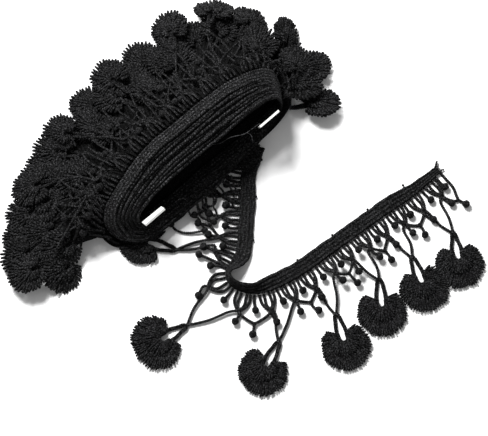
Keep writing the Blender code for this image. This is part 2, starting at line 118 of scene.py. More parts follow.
# The tassels round the rim: p, q, way in degrees, height, tip and roll in degrees.
RIM_TASSELS = (
    (-108, 11, 190, 3.0, 1, 30), (-124, 21, 177, 6.6, 6, -8), (-113, 43, 165, 0.3, 1, 9),
    (-90, 62, 154, 6.6, 6, -12), (-74, 69, 139, 0.3, 1, 8), (-54, 78, 127, 6.6, 8, 12),
    (-29, 83, 110, 0.3, 2, -10), (-9, 87, 95, 6.6, 14, 10), (13, 85, 77, 0.3, 1, -6),
    (39, 88, 62, 6.6, 18, 14), (47, 75, 44, 2.0, 6, -24), (66.5, 80, 38, 8.0, 44, 8),
    (79, 62, 34, 5.0, 38, -14), (89, 41, 46, 9.0, 10, -50), (90, 14, 353, 0.3, 6, 24),
    (79, -6, 334, 2.0, 4, 34),
)
# Tassels of the second layer: p, q and way.
LOWER_TASSELS = (
    (-120, 33, 172), (-103, 52, 161), (-84, 64, 148), (-65, 73, 133), (-101, 35, 170), (-82, 47, 158),
    (2, 77, 86), (81, 32, 40),
)
# Loose ends of fine thread that lie over the hank: x, y and height.
LONG_THREAD = (
    (-18.5, 25.0, 30.5), (-13.1, 25.0, 33.5), (-7.7, 28.1, 34.2), (-0.5, 30.0, 34.0), (2.5, 31.3, 34.3),
    (10.3, 36.9, 35.0),
)
SHORT_THREADS = (
    ((2.3, 31.2, 34.3), (4.9, 29.6, 34.0), (6.0, 25.6, 33.0)),
    ((-40.3, -7.0, 18.0), (-37.0, -5.3, 19.5), (-34.0, -5.3, 18.0)),
)

# The winding card: half its length, the length of an ear, the breadth of a leg, and its thickness.
CARD_HALF, CARD_EAR, CARD_LEG, CARD_THICK = 52.0, 14.8, 2.6, 1.3
# Levels up the card. Below the fold the legs go down inside the hank to the strip that joins them.
CARD_TOP, CARD_FOLD, CARD_FOOT, CARD_TOE = 1.5, -3.4, -21.0, -23.0
CARD_P, CARD_Q, CARD_HIGH = -1.5, -1.1, 29.3
CARD_TILT, CARD_TWIST, CARD_SKEW = 64, 0.3, 0.018  # degrees, degrees a millimetre, and a slope
LEGS_P, LEGS_Q = 0.18, 0.24  # how far the legs slant along and across as they go down

# Lower edge of the free end's heading from the cut end back under the hank: x, y, tilt in degrees.
TAIL_ROUTE = (
    (118.6, 28.0, 0), (102.0, 13.0, 0), (85.5, 1.4, 0), (68.4, -11.3, 0), (52.0, -23.5, 0),
    (38.0, -34.0, 0), (24.0, -42.2, 10), (15.0, -46.0, 30), (7.0, -47.6, 52), (-1.3, -46.0, 68),
    (-7.6, -42.0, 77), (-10.4, -36.8, 76), (-10.0, -31.5, 50), (-7.0, -25.4, 17), (-4.6, -19.0, 3),
    (-3.5, -6.0, 0), (-2.4, 11.0, 0), (-1.9, 27.0, 0), (3.6, 46.0, 0),
)
# Loop top and hub of each free tassel: x, y, x, y.
TAIL_TASSELS = (
    (125.3, -10.0, 128.0, -26.2), (100.6, -25.4, 106.2, -40.8), (80.7, -39.2, 81.9, -55.5),
    (54.9, -60.8, 59.4, -76.4), (20.4, -77.4, 12.9, -92.0), (-33.9, -66.8, -49.0, -75.7),
    (-41.0, -20.3, -57.5, -15.5),
)
BROAD_FANS = {5: 1.16}  # breadth of the fans that are spread more than the others' 1.02
FIRST_TASSEL = 16.5  # from the cut end
AT_THE_TURN = 5  # the tassel whose next festoon is crowded out by the turn
EASE = 0.985  # the net is drawn in a little along the heading
SLACK_FROM, SLACK_TO, SLACK_HIGH = 57, 90, 3.6  # the run of the free net that stands off the floor

# ---- how the net and the tassels are worked ----

RIBS = 4
# The net: distances down from the heading, and how high above the surface.
STRING_TOP, STRING_HIGH = -0.8, 0.9
SHORT_BALL_DOWN, FORK_DOWN, END_BALL_DOWN = 8.4, 16.6, 23.4
BALL_R, BALL_HIGH, KNOT_R = 2.3, 2.1, 1.25
CORD_TWIST = 2.5  # length of one turn of a cord's plies
WOUND_STRINGS, FREE_STRINGS = 0.72, 0.92  # their thickness, as shares of the size that a user sets
# The two strings at each side of a node: how far aside of it, how far down and how high.
# The last place of each is given from the node.
PAIR_STRINGS = (
    (4.1, (3.9, 2.6, 0.9), (3.35, 5.4, 0.9), (2.0, 8.2, 1.1), (0.5, 1.0, 1.4)),
    (1.5, (1.6, 2.6, 0.9), (1.7, 5.2, 0.9), (1.3, 7.6, 0.9), (0.2, 0.2, 1.2)),
)

# The tiers of a fan: share of its radius, height at the root, rise of the crown, yarns used.
TIERS = ((0.54, 2.9, 1.5, 2), (1.0, 1.9, 0.7, 1), (0.94, 0.9, 0.2, 1))
FAN_BACK, LOOP_LONG = 3.6, 17.3  # from the hub to the middle of the fan, and to the top of the loop
LOOP_THICK = 1.65
CRIMP, CRIMP_HIGH = (1.9, 2.5), 0.36  # shortest and longest wave of a fan's yarns, and how high
FAN_SPREAD = 143  # degrees to either side
# How the free fans are worked, and how the smaller ones that are piled round the hank are.
FINE_FAN = {"teeth": 50, "rings": 17, "loop_step": 0.5, "tip_thick": 1.3, "ragged": 0.3, "shift": 0.5}
PILED_FAN = {"teeth": 29, "rings": 9, "loop_step": 0.7, "tip_thick": 1.65, "ragged": 0.5, "shift": 0.0}
FAN_SCALE = 0.84

# The stage: widths and distances in metres, rises in degrees above the floor.
KEY_WATTS, KEY_WIDE, KEY_FAR, KEY_RISE, KEY_FROM = 52.0, 0.6, 1.6, 52, (-0.56, 0.83, 0.0)
SKY = 0.35  # strength of the light from all round
LENS, CAMERA_RISE, CAMERA_FAR = 250.0, 74, 2.033

# ---- paths ----


def lengths(path):
    """The distance along a path to each of its points."""
    return np.concatenate([[0.0], np.cumsum(np.linalg.norm(np.diff(path, axis=0), axis=1))])


def through(knots, parts=8):
    """A smooth line through the knots."""
    knots = np.asarray(knots, float)
    ends = np.vstack([2 * knots[0] - knots[1], knots, 2 * knots[-1] - knots[-2]])
    t = np.linspace(0, 1, parts, endpoint=False)[:, None]
    spans = [
        0.5 * (2 * b + (c - a) * t + (2 * a - 5 * b + 4 * c - d) * t**2 + (3 * b - a - 3 * c + d) * t**3)
        for a, b, c, d in zip(ends, ends[1:], ends[2:], ends[3:])
    ]
    return np.vstack([*spans, knots[-1:]])


def look_up(at, known, table):
    """The rows of a table at places between the known ones."""
    return np.stack([np.interp(at, known, column) for column in np.transpose(table)], -1)


def evenly(path, step):
    """The path again, in even steps of about that length."""
    along = lengths(path)
    return look_up(np.linspace(0, along[-1], max(2, round(along[-1] / step)) + 1), along, path)


def unit(v):
    """The way that a vector, or each row of vectors, points."""
    return v / np.maximum(np.linalg.norm(v, axis=-1, keepdims=True), 1e-9)


def ease(x):
    """A smooth rise from 0 to 1 as x does."""
    x = np.clip(x, 0, 1)
    return x * x * (3 - 2 * x)


def wander(at, seed, wave):
    """A smooth wandering value of about -1 to 1 along a length."""
    rng = np.random.default_rng(seed)
    total = 0
    for k in range(3):
        total = total + np.sin(at * TAU / wave * (0.6 + 0.55 * k) + rng.uniform(0, TAU)) / (1 + 0.4 * k)
    return total / 2


# ---- laying yarn ----


def mesh_of(bm, name):
    """A new mesh of what was worked, which is then let go."""
    mesh = bpy.data.meshes.new(name)
    bm.to_mesh(mesh)
    bm.free()
    return mesh


def numbers(items, what, width, kind=np.float32):
    """A list of Blender's numbers, as rows."""
    flat = np.empty(len(items) * width, kind)
    items.foreach_get(what, flat)
    return flat.reshape(-1, width)


def put_in(name, data):
    """A new object in the scene."""
    made = bpy.data.objects.new(name, data)
    bpy.context.collection.objects.link(made)
    return made


class Skein:
    """Yarns laid as the lines of one round curve, which becomes one mesh."""

    def __init__(self, sides=6):
        self.sides = sides
        self.lines = []

    def lay(self, path, thick):
        """A yarn along a path, with its two ends drawn to a point."""
        radius = np.broadcast_to(np.asarray(thick, float) / 2, len(path)).copy()
        path = np.column_stack([path[:, :2], np.maximum(path[:, 2], radius + 0.05)])
        first = path[0] - unit(path[1] - path[0]) * radius[0] * 0.55
        last = path[-1] - unit(path[-2] - path[-1]) * radius[-1] * 0.55
        radius[[0, -1]] *= 0.8
        self.lines.append((np.vstack([first, path, last]), np.pad(radius, 1)))

    def cord(self, path, thick, plies, step, phase):
        """A cord of plies twisted round each other along a path."""
        path = evenly(path, step)
        along = lengths(path)
        if plies == 1:
            self.lay(path, thick * (0.9 + 0.14 * np.cos(TAU * along / CORD_TWIST * 2 + phase)))
            return
        way = unit(np.gradient(path, axis=0))
        side = np.cross((0.0, 0.0, 1.0), way)
        flat = np.linalg.norm(side, axis=1) > 0.05
        if not flat.any():
            side[:] = (1.0, 0.0, 0.0)
        elif not flat.all():
            side = look_up(np.arange(len(side)), np.flatnonzero(flat), side[flat])
        side = unit(side)
        up = np.cross(way, side)
        for k in range(plies):
            turn = (TAU * (along / CORD_TWIST + k / plies) + phase)[:, None]
            self.lay(path + (np.cos(turn) * side + np.sin(turn) * up) * thick * 0.29, thick * 0.55)

    def mesh(self, name):
        """One mesh of all the yarns. Its UV map has centimetres along and turns round each yarn."""
        curve = bpy.data.curves.new(name, "CURVE")
        curve.dimensions = "3D"
        curve.bevel_depth = MM
        curve.bevel_resolution = (self.sides - 4) // 2
        for path, radius in self.lines:
            line = curve.splines.new("POLY")
            line.points.add(len(path) - 1)
            places = np.ones((len(path), 4), np.float32)
            places[:, :3] = path * MM
            line.points.foreach_set("co", places.ravel())
            line.points.foreach_set("radius", radius.astype(np.float32))
        holder = put_in(name, curve)
        graph = bpy.context.evaluated_depsgraph_get()
        made = bpy.data.meshes.new_from_object(holder.evaluated_get(graph))
        made.name = name
        uv = numbers(made.uv_layers[0].data, "uv", 2)
        start = 0
        for path, radius in self.lines:
            stop = start + (len(path) - 1) * self.sides * 4
            which = np.rint(uv[start:stop, 0] * (len(path) - 1)).astype(int)
            uv[start:stop, 0] = lengths(path)[which] / 10
            start = stop
        made.uv_layers[0].data.foreach_set("uv", uv.ravel())
        bpy.data.objects.remove(holder)
        bpy.data.curves.remove(curve)
        return made


def piece(name, meshes, look, replaces=()):
    """One finished object of one or more meshes, riding on the frame."""
    bm = bmesh.new()
    for mesh in meshes:
        bm.from_mesh(mesh)
        bpy.data.meshes.remove(mesh)
    bmesh.ops.remove_doubles(bm, verts=bm.verts, dist=0.002 * MM)
    bmesh.ops.dissolve_degenerate(bm, edges=bm.edges, dist=1e-7)
    mesh = mesh_of(bm, name)
    mesh.shade_smooth()
    mesh.materials.append(finish(look))
    made = put_in(name, mesh)
    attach(made, "root")
    if replaces:
        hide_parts(*replaces)
    return made


def swept(name, stations, around, place):
    """A band laid by place(u, v), whose v goes right round it, welded along its seam and capped."""
    bm = bmesh.new()
    bm.loops.layers.uv.new("UVMap")
    bmesh.ops.create_grid(bm, x_segments=stations, y_segments=around, size=0.5, calc_uvs=True)
    mesh = mesh_of(bm, name)
    u, v = numbers(mesh.vertices, "co", 3)[:, :2].astype(float).T + 0.5
    places, chart = place(u, v)
    mesh.vertices.foreach_set("co", (places * MM).astype(np.float32).ravel())
    corner = numbers(mesh.loops, "vertex_index", 1, np.int32)[:, 0]
    mesh.uv_layers[0].data.foreach_set("uv", (chart[corner] / 10).astype(np.float32).ravel())
    bm = bmesh.new()
    bm.from_mesh(mesh)
    bmesh.ops.remove_doubles(bm, verts=bm.verts, dist=0.004 * MM)
    bmesh.ops.holes_fill(bm, edges=[e for e in bm.edges if e.is_boundary], sides=0)
    bmesh.ops.recalc_face_normals(bm, faces=bm.faces)
    bm.to_mesh(mesh)
    bm.free()
    return mesh


class Balls:
    """Small balls of wound yarn, gathered in one mesh."""

    def __init__(self, seed, around=18, high=12):
        self.bm = bmesh.new()
        self.bm.loops.layers.uv.new("UVMap")
        self.rng = np.random.default_rng(seed)
        self.around, self.high = around, high

    def wind(self, place, radius):
        """A ball with the ridges of the yarn that it is wound from."""
        made = bmesh.ops.create_uvsphere(
            self.bm, u_segments=self.around, v_segments=self.high, radius=1.0, calc_uvs=True
        )
        ridges = self.rng.integers(4, 7)
        lean, turn = self.rng.uniform(0.8, 1.6), self.rng.uniform(0, TAU)
        for corner in made["verts"]:
            x, y, z = corner.co
            round_it = math.atan2(y, x)
            swell = 0.06 * math.cos(ridges * (round_it + lean * z) + turn) * (1 - z * z)
            swell += 0.04 * math.sin(3 * z + turn + 2 * x)
            corner.co *= 1 + swell
        place = (place[0], place[1], max(place[2], 1.12 * radius))
        lie = Vector(self.rng.normal(size=3)).to_track_quat("Z", "Y").to_matrix().to_4x4()
        lie = Matrix.Translation(Vector(place) * MM) @ lie @ Matrix.Scale(radius * MM, 4)
        bmesh.ops.transform(self.bm, verts=made["verts"], matrix=lie)

    def mesh(self, name):
        """One mesh of all the balls."""
        return mesh_of(self.bm, name)


# ---- the net ----


class Net:
    """The net below a run of heading, whose at(s, t, h) gives places."""

    def __init__(self, at, sizes, seed, sides=6, step=0.45, plies=2, ball_share=1.0):
        self.at, self.sizes, self.step = at, sizes, step
        self.plies, self.ball_share = plies, ball_share
        self.skein = Skein(sides)
        self.balls = Balls(seed + 1) if sides == 6 else Balls(seed + 1, 10, 7)
        self.rng = np.random.default_rng(seed)

    def jitter(self, size):
        """A small stray either way."""
        return self.rng.uniform(-size, size)

    def string(self, spots, thick=None):
        """A string through spots, each an (s, t, h) of the trim or a ready place of three in an array."""
        knots = [spot if isinstance(spot, np.ndarray) else self.at(*spot) for spot in spots]
        thick = thick or self.sizes.string_thick
        self.skein.cord(through(knots), thick, self.plies, self.step, self.rng.uniform(0, TAU))

    def ball(self, place, radius=BALL_R):
        """A ball whose size strays a little."""
        self.balls.wind(place, radius + self.jitter(0.12))

    def repeat(self, middle, last=False):
        """One repeat of the net about a tassel's middle."""
        gap, node_t = self.sizes.pitch / 10, self.sizes.node_down
        for side in (-1, 1):
            node_s = middle + side * 2.5 * gap + self.jitter(0.3)
            for pair in (-1, 1):
                for top, *between, (aside, below, high) in PAIR_STRINGS:
                    spots = [(node_s + pair * (top + self.jitter(0.3)), STRING_TOP, STRING_HIGH)]
                    spots += [(node_s + pair * x, t, h) for x, t, h in between]
                    self.string((*spots, (node_s + pair * aside, node_t + below, high)))
            node = self.at(node_s, node_t + 0.6, 1.3)
            self.balls.wind(node, KNOT_R)
            if self.rng.random() < self.ball_share:
                self.dangle(node_s, self.sizes.side_ball_down, 1.3, 0.8, 0.7, (13.6, 1.2), node)
        for offset in (0.0, 5 * gap):
            if self.rng.random() < self.ball_share:
                self.short_ball(middle + offset)
        if not last:
            self.fork(middle + 5 * gap)

    def dangle(self, s, down, aside, drop, sway, via, start=None):
        """A ball on a string from a node, or else from the heading, and how far each may stray."""
        ball = self.at(s + self.jitter(aside), down + self.jitter(drop), BALL_HIGH)
        if start is None:
            start = (s + self.jitter(sway), STRING_TOP, STRING_HIGH)
        self.string((start, (s + self.jitter(sway), *via), ball))
        self.ball(ball)

    def short_ball(self, s):
        """A ball on its own short string between two nodes."""
        self.dangle(s, SHORT_BALL_DOWN, 0.8, 0.6, 0.4, (3.6, STRING_HIGH))

    def fork(self, s):
        """The festoon between two nodes and the ball that hangs from its lowest place."""
        gap, node_t = self.sizes.pitch / 10, self.sizes.node_down
        s += self.jitter(0.5)
        fork = self.at(s, FORK_DOWN + self.jitter(0.5), 1.2)
        run = ((2.5, node_t + 0.8, 1.2), (1.9, 12.5, 1.1), (0.8, 15.0, 0.9))
        for side in (-1, 1):
            self.string((*[(s + side * x * gap, t, h) for x, t, h in run], fork))
        self.ball(fork, KNOT_R)
        if self.rng.random() < self.ball_share:
            self.dangle(s, END_BALL_DOWN, 1.2, 0.7, 0.5, (19.6, STRING_HIGH), fork)

    def hang(self, middle, loop_top, lift=0.0):
        """The two strings from the nodes either side of a tassel's middle down to its loop."""
        gap, node_t = self.sizes.pitch / 10, self.sizes.node_down
        for side, lead in ((-1, 3.4), (1, 1.2)):
            node_s = middle + side * 2.5 * gap
            node = self.at(node_s, node_t + 0.8, 1.4)
            first = self.at(node_s - side * lead, node_t + 3.8, 1.3 + lift)
            out = unit(first - self.at(middle, node_t + 3.8, 1.3 + lift))
            bow = first + (loop_top - first) * 0.52 + out * (1.2 + self.jitter(0.6))
            bow[2] = max(1.1, 0.5 * (first[2] + loop_top[2]) + 0.6 * lift)
            self.string((node, first, bow, loop_top), 0.95 * self.sizes.string_thick)


# ---- a tassel ----


def tassel(skein, place, sizes, seed, teeth, rings, loop_step, tip_thick, ragged, shift, slot=1.0):
    """A fan of crimped yarns over its doubled loop. place(points) lays it; hub at 0, loop along +x."""
    rng = np.random.default_rng(seed)
    spread = math.radians(FAN_SPREAD + rng.uniform(-4, 4))
    rim = np.linspace(-spread, spread, teeth) + rng.normal(0, 0.008, teeth)
    long = sizes.fan_radius + 0.45 * wander(rim * 12, seed, 17) + rng.uniform(-ragged, ragged, teeth)
    slits = rng.uniform(-2.2, 2.2, 3)
    for share, base, crown, skip in TIERS:
        u = np.linspace(0, 1, max(7, round(rings * share)))
        angles = rim + (shift if base < 1 else 0) * 2 * spread / teeth
        for angle, reach in zip(angles[::skip], (long * share)[::skip]):
            reach += rng.uniform(-ragged, ragged)
            along = max(0.0, abs(angle) - math.pi / 2) / 0.87 * 2.6
            turn = min(abs(angle), math.pi / 2) * math.copysign(1, angle)
            root = np.array((1.3 - 1.5 * math.cos(turn) + along, -1.6 * math.sin(turn), 0))
            tip = np.array((-FAN_BACK * share - reach * math.cos(angle), -reach * math.sin(angle), 0))
            path = root + (tip - root) * u[:, None]
            across = unit(np.array((-(tip - root)[1], (tip - root)[0], 0)))
            crimp = u * reach * TAU / rng.uniform(*CRIMP) + rng.uniform(0, TAU)
            sway = CRIMP_HIGH * np.sin(crimp) + rng.uniform(-0.3, 0.3) * np.sin(u * math.pi)
            away = angle - slits
            part = -(np.sign(away) * 0.55 * np.exp(-np.abs(away) / 0.16)).sum()
            path += across * (sway * np.minimum(1, u * 3) * (1 - 0.7 * u**4) + part * u**3)[:, None]
            path[:, 2] = base + crown * np.sin(math.pi * (0.15 + 0.75 * u)) + 0.26 * np.sin(crimp + 1.3)
            path[:, 2] = np.maximum(path[:, 2] + rng.normal(0, 0.2) * u, 0.75)
            thick = np.interp(u, (0, 0.3, 0.8, 1), (0.75, 0.95, 1.1, 1.05)) * tip_thick
            skein.lay(place(path), thick * rng.uniform(0.88, 1.1))
    narrow = rng.uniform(0.6, 1.0)
    shape = ((-0.9, 0.0, 2.2), (0.3, 2.3, 2.2), (3.2, 2.7, 1.8), (8.0, 2.6, 1.4), (12.5, 2.2 * narrow, 1.3))
    shape += ((15.6, 1.6 * narrow, 1.3),)
    for strand in (-0.45, 0.45):
        arm = []
        for side, run in ((-1, shape), (1, shape[::-1])):
            for x, y, z in run:
                arm.append((x, side * max(0.0, y * slot + (strand if y else 0)), z + 0.5 * strand))
        arm.insert(len(arm) // 2, (LOOP_LONG + strand, 0.0, 1.4))
        skein.cord(place(through(arm)), LOOP_THICK, 2, loop_step, rng.uniform(0, TAU))


def laid_at(hub, yaw, roll=0.0, pitch=0.0, scale=1.0, broad=1.0):
    """Lays a tassel: its hub at a place, turned by yaw, tipped along the loop by pitch and across by roll."""
    turn = Matrix.Rotation(yaw, 3, "Z") @ Matrix.Rotation(pitch, 3, "Y") @ Matrix.Rotation(roll, 3, "X")
    turn = np.array(turn)
    hub = np.asarray(hub, float)

    def place(points):
        spots = (points * (scale, scale * broad, 1)) @ turn.T + hub
        spots[:, 2] = np.maximum(spots[:, 2], 0.8)
        return spots

    return place


# ---- the run of the free end ----


class Tail:
    """The lower edge of the free heading from its cut end, with the band's tilt."""

    def __init__(self):
        self.fine = through(TAIL_ROUTE, 24)
        self.fine[:, :2] += SHIFT[:2]
        self.along = lengths(self.fine[:, :2])
        self.length = self.along[-1]

    def edge(self, s):
        """Places of the edge, the level way out across the net, and the tilt, for an array of s."""
        s = np.atleast_1d(np.asarray(s, float))
        here = look_up(s, self.along, self.fine)
        inside = np.clip(s, 1.5, self.length - 1.5)
        ahead, behind = (look_up(inside + step, self.along, self.fine[:, :2]) for step in (1.5, -1.5))
        run, level = unit(ahead - behind), np.zeros(len(s))
        over = np.minimum(s, 0) + np.maximum(s - self.length, 0)
        out = np.column_stack([-run[:, 1], run[:, 0], level])
        place = np.column_stack([here[:, :2] + run * over[:, None], level])
        return place, out, np.radians(here[:, 2])

    def at(self, s, t, h):
        """A place of the net, part of whose run is slack and stands off the surface."""
        place, out, tilt = self.edge(s)
        slack = ease((s - SLACK_FROM) / 9) * (1 - ease((s - SLACK_TO) / 12)) * SLACK_HIGH
        slack += ease((s - 100) / 30) * 0.7
        lift = slack * ease((t - 3) / 6) * (1 - ease((t - 17) / 11))
        spot = place[0] + out[0] * (t + 1.6 * math.sin(tilt[0]))
        spot[2] = h + lift
        return spot


def band_section(sizes, v, top_share, back):
    """Across, as a share, and up for points v round the ribbed heading. back is how full its back is."""
    front = v <= top_share
    across = np.where(front, v / top_share, 1 - (v - top_share) / (1 - top_share))
    across = np.clip(across, 0, 1)
    edge = np.minimum(1, np.minimum(across, 1 - across) * sizes.heading_wide / 0.6)
    round_off = np.sqrt(np.clip(1 - (1 - edge) ** 2, 0, 1)) * np.where(front, 1, -1)
    ribs = 0.65 * np.abs(np.sin(np.pi * across * RIBS)) ** 0.8 - 0.38
    return across, round_off * (sizes.heading_thick / 2 + ribs * np.where(front, 1, back))


# ---- the hank ----


def hank_line(line, angle):
    """One of the hank's lines at angles round it: p, q and height."""
    mid_p, mid_q, half_p, half_q, square, high, rise, drop = HANK_LINES[line]
    across, up = np.cos(angle), np.sin(angle)
    reach = (np.abs(across) ** square + np.abs(up) ** square) ** (-1 / square)
    p, side = mid_p + half_p * reach * across, reach * up
    mid_q = mid_q - HANK_SAG[line] * np.maximum(0, -side) ** 0.6 * ease((28 - p) / 42)
    bend = HANK_BEND[line] * ease((-22 - p) / 40)
    p, mid_q = p - 0.5 * bend, mid_q - 0.8 * bend
    return np.stack([p, mid_q + half_q * side, high + LEAN * p + np.where(side > 0, rise, drop) * side], -1)


def from_hank(points):
    """Places of the hank's frame as places of the whole model."""
    points = np.asarray(points, float)
    c, s = math.cos(HANK_TURN), math.sin(HANK_TURN)
    p, q = points[..., 0], points[..., 1]
    return np.stack([c * p - s * q, s * p + c * q, points[..., 2]], -1) + HANK_AT


class Hank:
    """The foot of the hank's outermost turn, which its net splays out from."""

    def __init__(self):
        self.angle = np.linspace(-80, 250, 1321)
        self.reach = np.interp(self.angle, *np.transpose(NET_REACH))
        self.foot = foot = hank_line("outer_foot", np.radians(self.angle))
        self.s = lengths(foot[:, :2])
        run = np.gradient(foot[:, :2], self.s, axis=0)
        out = np.stack([run[:, 1], -run[:, 0]], 1)
        wide = np.exp(-0.5 * (np.arange(-60, 61) / 26) ** 2)
        out = np.stack([np.convolve(np.pad(out[:, k], 60, "edge"), wide, "valid") for k in range(2)], 1)
        self.out = unit(out)

    def fall(self, s, foot_high, distance):
        """How high the net lies at s along the foot and a distance out from it."""
        at, *known = np.transpose(NET_FALL)
        share, added = (np.interp(distance, at, column) for column in known)
        lift = np.interp(np.interp(s, self.s, self.angle), *np.transpose(NET_LIFT))
        return foot_high * share + added + lift * np.interp(distance, *np.transpose(LIFT_SHARE))

    def at(self, level):
        """A way to place the net of one turn, level turns below the outermost."""

        def place(s, t, h):
            foot, out = look_up(s, self.s, self.foot), look_up(s, self.s, self.out)
            distance = t * np.interp(s, self.s, self.reach) - TURN_IN * level
            high = self.fall(s, foot[2], distance) - TURN_DOWN * level * (1 - 0.4 * ease(t / 30))
            high += 0.9 * wander(s + 3 * t, 40 + round(level), 23) * ease(t / 12)
            return from_hank((*(foot[:2] + out * distance), max(1.0, high + h)))

        return place

    def nearest(self, spot):
        """Where a place of the hank's frame lies: s along the foot, how far out, and the foot's height."""
        away = np.asarray(spot[:2]) - self.foot[:, :2]
        off = np.abs(away[:, 0] * self.out[:, 1] - away[:, 1] * self.out[:, 0])
        off[(away * self.out).sum(1) < 0] = 1e9
        best = int(np.argmin(off))
        return self.s[best], float(np.linalg.norm(away[best])), float(self.foot[best, 2])


def tassel_rows():
    """The tassels of the hank: p, q, way, height under the fan, tip, roll and row."""
    rng = np.random.default_rng(11)
    rows = [(*rim, 0) for rim in RIM_TASSELS]
    for n, (a, b) in enumerate(zip(RIM_TASSELS[1:], RIM_TASSELS[2:])):
        gap = (b[2] - a[2] + 180) % 360 - 180
        way = a[2] + gap / 2 + rng.uniform(-16, 16)
        turned = math.radians(way)
        for row, inward in ((1, 11.0), (2, 22.0)):
            if (row == 1 and n in (3, 6, 9)) or (row == 2 and (n % 2 or n > 9)):
                continue
            inward += rng.uniform(-2, 2)
            p = (a[0] + b[0]) / 2 - inward * math.cos(turned) + rng.uniform(-2, 2)
            q = (a[1] + b[1]) / 2 - inward * math.sin(turned) + rng.uniform(-2, 2)
            rows.append((p, q, way, None, 12.0, rng.uniform(-24, 24), row))
    rows.append((24.0, 1.0, -50, 2.0, 0.0, 0.0, 1))
    return rows + [(*lower, 3.0, 4.0, 10.0, 1) for lower in LOWER_TASSELS]


def part_way(line, angle, share):
    """Places a share of the way in from the hank's outer foot or top line to the inner one."""
    outer = hank_line("outer_" + line, angle)
    return outer + (hank_line("inner_" + line, angle) - outer) * share[:, None]


def wound_heading_place(sizes, u, v):
    """Places of the wound heading, its nine turns one long band from the outermost inwards."""
    angle = math.radians(TURNS_FROM) + TAU * TURNS * u
    total = u * WOUND_LONG
    share = TURNS_IN + (1 - 2 * TURNS_IN) * u

    slip = 0.036 * wander(total, 5, 95) + 0.02 * wander(total, 6, 41)
    slip *= ease(u / 0.04) * ease((1 - u) / 0.06)
    foot, ahead = (part_way("foot", at, share + slip * 0.4) for at in (angle, angle + 0.004))
    over, run = unit(part_way("top", angle, share + slip) - foot), unit(ahead - foot)
    face = unit(np.cross(run, over))
    gap = np.linalg.norm(hank_line("outer_top", angle) - hank_line("inner_top", angle), axis=1) / TURNS
    squeeze = np.clip(gap * 0.92 / sizes.heading_thick, 0.4, 0.95)
    across, up = band_section(sizes, v, 0.6, 0.6)
    across = across * sizes.heading_wide
    rise = 0.9 * wander(total, 8, 70) + 0.35 * wander(total, 9, 19)
    spot = foot + over * (across + rise)[:, None] + face * (up * squeeze)[:, None]
    return from_hank(spot), np.stack([total, across], 1)


def under_place(hank, u, v):
    """Places of the packed nets of the inner turns, under the splayed net and in the hollow; their darkness
    is painted shade.
    """
    angle = TAU * u
    degrees = np.degrees(angle)
    degrees = np.where(degrees > 250, degrees - 360, degrees)
    inner, outer = hank_line("inner_foot", angle), hank_line("outer_foot", angle)
    s = np.interp(degrees, hank.angle, hank.s)
    out = look_up(s, hank.s, hank.out)
    reach = np.interp(degrees, hank.angle, hank.reach)
    level = np.ones(len(v))
    middle_p = 0.55 * inner[:, 0]
    middle = np.column_stack([middle_p, HOLLOW_Q * level, HOLLOW_HIGH + LEAN * middle_p])
    inside, foot = inner - (0, 0, 2.6), outer - np.column_stack([2.0 * out, 5.0 * level])
    levels = [middle, inside, foot]
    for t, drop, least in UNDER_LEVELS:
        distance = t * reach * np.where(reach > 0.7, 1.0, 0.42)
        spot = outer.copy()
        spot[:, :2] += out * distance[:, None]
        spot[:, 2] = np.maximum(least, hank.fall(s, outer[:, 2], distance) - drop)
        levels.append(spot)
    levels.append(np.column_stack([spot[:, :2], 0.3 * level]))
    at = v * (len(levels) - 1)
    low = np.minimum(at.astype(int), len(levels) - 2)
    stack, each = np.stack(levels), np.arange(len(v))
    share = (at - low)[:, None]
    spot = stack[low, each] * (1 - share) + stack[low + 1, each] * share
    ripple = np.sin(angle * 97 + 3 * np.sin(at * 2)) * 0.6 + wander(angle * 60 + at * 9, 3, 11) * 0.8
    spot[:, 2] = np.maximum(spot[:, 2] + ripple * ease((1 - v) * 6), 0.25)
    return from_hank(spot), np.stack([angle * 60, at * 12], 1)


# ---- finishes ----


def group_of(name, inputs, outputs):
    """A new shader node group with named inputs and outputs."""
    tree = bpy.data.node_groups.new(name, "ShaderNodeTree")
    for label, value in inputs:
        kind = "NodeSocketColor" if isinstance(value, tuple) else "NodeSocketFloat"
        socket = tree.interface.new_socket(label, in_out="INPUT", socket_type=kind)
        socket.default_value = value
    for label, kind in outputs:
        tree.interface.new_socket(label, in_out="OUTPUT", socket_type=kind)
    return tree, tree.nodes.new("NodeGroupInput"), tree.nodes.new("NodeGroupOutput")


def feed(tree, node, inputs):
    """Gives a node's inputs sockets to follow or values to hold."""
    for name, value in inputs.items():
        if isinstance(value, bpy.types.NodeSocket):
            tree.links.new(value, node.inputs[name])
        else:
            node.inputs[name].default_value = value
    return node


def maths(tree, operation, *values):
    """A Math node fed by sockets or numbers."""
    node = tree.nodes.new("ShaderNodeMath")
    node.operation = operation
    return feed(tree, node, dict(enumerate(values))).outputs[0]


def shared(tree, name, inputs):
    """A node of one of the shared groups, fed."""
    node = tree.nodes.new("ShaderNodeGroup")
    node.node_tree = bpy.data.node_groups.get(name) or GROUPS[name]()
    return feed(tree, node, inputs).outputs


def arithmetic(tree):
    """The sums that a tree's nodes are made of: plus, minus, times and to the power of."""
    return [partial(maths, tree, kind) for kind in ("ADD", "SUBTRACT", "MULTIPLY", "POWER")]


def noise_of(tree, place, scale, detail):
    """A Noise node's value over a place."""
    noise = tree.nodes.new("ShaderNodeTexNoise")
    return feed(tree, noise, {"Scale": scale, "Detail": detail, "Vector": place}).outputs["Fac"]


